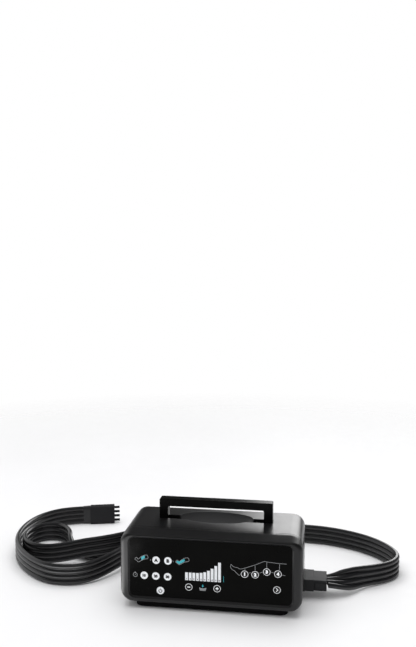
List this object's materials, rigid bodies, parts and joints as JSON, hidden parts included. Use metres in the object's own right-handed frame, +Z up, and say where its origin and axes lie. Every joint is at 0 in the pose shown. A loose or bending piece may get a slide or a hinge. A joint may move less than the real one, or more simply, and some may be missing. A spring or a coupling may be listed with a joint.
{
  "type": "compression therapy pump",
  "caption": "Table-top air pump with a flat key panel, a handle that slides down into its top, and a hose set on a latched side plug that splits into two ribbon branches.",
  "frame": {"origin": "on the floor plane under the centre of the casing", "axes": "+Z up, -Y towards the control panel's front, +X to the right of someone who reads the panel"},
  "size_m": [0.6676, 0.3547, 0.1485],
  "materials": {
    "casing_black": "satin",
    "panel_black": "gloss",
    "display_white": "satin",
    "key_white": "satin",
    "key_black": "satin",
    "foot_rubber": "matte",
    "plug_black": "satin",
    "hose_black": "satin",
    "guide_white": "satin",
    "silicone_grey": "matte",
    "circuit_green": "satin",
    "screw_steel": "brushed",
    "pin_brass": "polished",
    "chassis_aluminium": "satin"
  },
  "bodies": {
    "casing": {"front_bezel": "casing_black", "front_panel": "panel_black", "level_bars": "display_white", "key_mat": "silicone_grey", "control_board": "circuit_green", "board_screws": "screw_steel", "rear_shell": "casing_black", "casing_screws": "screw_steel", "base_plinth": "casing_black", "feet": "foot_rubber", "foot_screws": "screw_steel", "handle_guides": "guide_white", "guide_screws": "screw_steel", "hose_port": "plug_black", "hose_plug": "plug_black", "hose_main": "hose_black", "hose_splitter": "plug_black", "hose_branch_a": "hose_black", "hose_branch_b": "hose_black", "sleeve_connector_a": "plug_black", "sleeve_connector_b": "plug_black", "mains_inlet": "plug_black", "inlet_pins": "pin_brass", "chassis_plate": "chassis_aluminium", "compressor_mounts": "foot_rubber", "compressor_body": "chassis_aluminium", "compressor_coils": "pin_brass", "diaphragms": "foot_rubber", "compressor_heads": "guide_white", "valve_block": "guide_white", "valve_motor": "screw_steel", "power_board": "circuit_green", "pressure_sensor": "plug_black", "chamber_tubes": "silicone_grey", "supply_tube": "silicone_grey", "sensor_tube": "silicone_grey"},
    "handle": {"handle": "casing_black", "handle_stop_pins": "screw_steel"},
    "latch": {"plug_latch": "plug_black"},
    "compressor_rod": {"magnet_rod": "screw_steel"},
    "valve_rotor": {"valve_rotor": "guide_white"},
    "mode_a_key": {"mode_a_key": "key_white"},
    "mode_b_key": {"mode_b_key": "key_white"},
    "timer_10_key": {"timer_10_key": "key_white"},
    "timer_20_key": {"timer_20_key": "key_white"},
    "timer_30_key": {"timer_30_key": "key_white"},
    "power_key": {"power_key": "key_white"},
    "minus_key": {"minus_key": "key_black"},
    "plus_key": {"plus_key": "key_black"},
    "next_key": {"next_key": "key_black"},
    "chamber_1_key": {"chamber_1_key": "key_black"},
    "chamber_2_key": {"chamber_2_key": "key_black"},
    "chamber_3_key": {"chamber_3_key": "key_black"},
    "chamber_4_key": {"chamber_4_key": "key_black"}
  },
  "joints": [
    {"name": "handle_slide", "type": "slide", "parent": "casing", "child": "handle", "axis": [0, 0, 1], "range_m": [-0.0305, 0]},
    {"name": "latch_hinge", "type": "hinge", "parent": "casing", "child": "latch", "pos_m": [0.1539, 0.0126, 0.0212], "axis": [0, 0, 1], "range_deg": [0, 6], "stiffness_Nm_per_rad": 0.02},
    {"name": "rod_slide", "type": "slide", "parent": "casing", "child": "compressor_rod", "axis": [1, 0, 0], "range_m": [-0.0012, 0.0012], "stiffness_N_per_m": 2500},
    {"name": "valve_spin", "type": "hinge", "parent": "casing", "child": "valve_rotor", "pos_m": [0.1, -0.016, 0.03], "axis": [0, 0, 1], "continuous": true},
    {"name": "mode_a_key_press", "type": "slide", "parent": "casing", "child": "mode_a_key", "axis": [0, 1, 0], "range_m": [0, 0.0006], "stiffness_N_per_m": 2500},
    {"name": "mode_b_key_press", "type": "slide", "parent": "casing", "child": "mode_b_key", "axis": [0, 1, 0], "range_m": [0, 0.0006], "stiffness_N_per_m": 2500},
    {"name": "timer_10_key_press", "type": "slide", "parent": "casing", "child": "timer_10_key", "axis": [0, 1, 0], "range_m": [0, 0.0006], "stiffness_N_per_m": 2500},
    {"name": "timer_20_key_press", "type": "slide", "parent": "casing", "child": "timer_20_key", "axis": [0, 1, 0], "range_m": [0, 0.0006], "stiffness_N_per_m": 2500},
    {"name": "timer_30_key_press", "type": "slide", "parent": "casing", "child": "timer_30_key", "axis": [0, 1, 0], "range_m": [0, 0.0006], "stiffness_N_per_m": 2500},
    {"name": "power_key_press", "type": "slide", "parent": "casing", "child": "power_key", "axis": [0, 1, 0], "range_m": [0, 0.0006], "stiffness_N_per_m": 2500},
    {"name": "minus_key_press", "type": "slide", "parent": "casing", "child": "minus_key", "axis": [0, 1, 0], "range_m": [0, 0.0006], "stiffness_N_per_m": 2500},
    {"name": "plus_key_press", "type": "slide", "parent": "casing", "child": "plus_key", "axis": [0, 1, 0], "range_m": [0, 0.0006], "stiffness_N_per_m": 2500},
    {"name": "next_key_press", "type": "slide", "parent": "casing", "child": "next_key", "axis": [0, 1, 0], "range_m": [0, 0.0006], "stiffness_N_per_m": 2500},
    {"name": "chamber_1_key_press", "type": "slide", "parent": "casing", "child": "chamber_1_key", "axis": [0, 1, 0], "range_m": [0, 0.0006], "stiffness_N_per_m": 2500},
    {"name": "chamber_2_key_press", "type": "slide", "parent": "casing", "child": "chamber_2_key", "axis": [0, 1, 0], "range_m": [0, 0.0006], "stiffness_N_per_m": 2500},
    {"name": "chamber_3_key_press", "type": "slide", "parent": "casing", "child": "chamber_3_key", "axis": [0, 1, 0], "range_m": [0, 0.0006], "stiffness_N_per_m": 2500},
    {"name": "chamber_4_key_press", "type": "slide", "parent": "casing", "child": "chamber_4_key", "axis": [0, 1, 0], "range_m": [0, 0.0006], "stiffness_N_per_m": 2500}
  ]
}
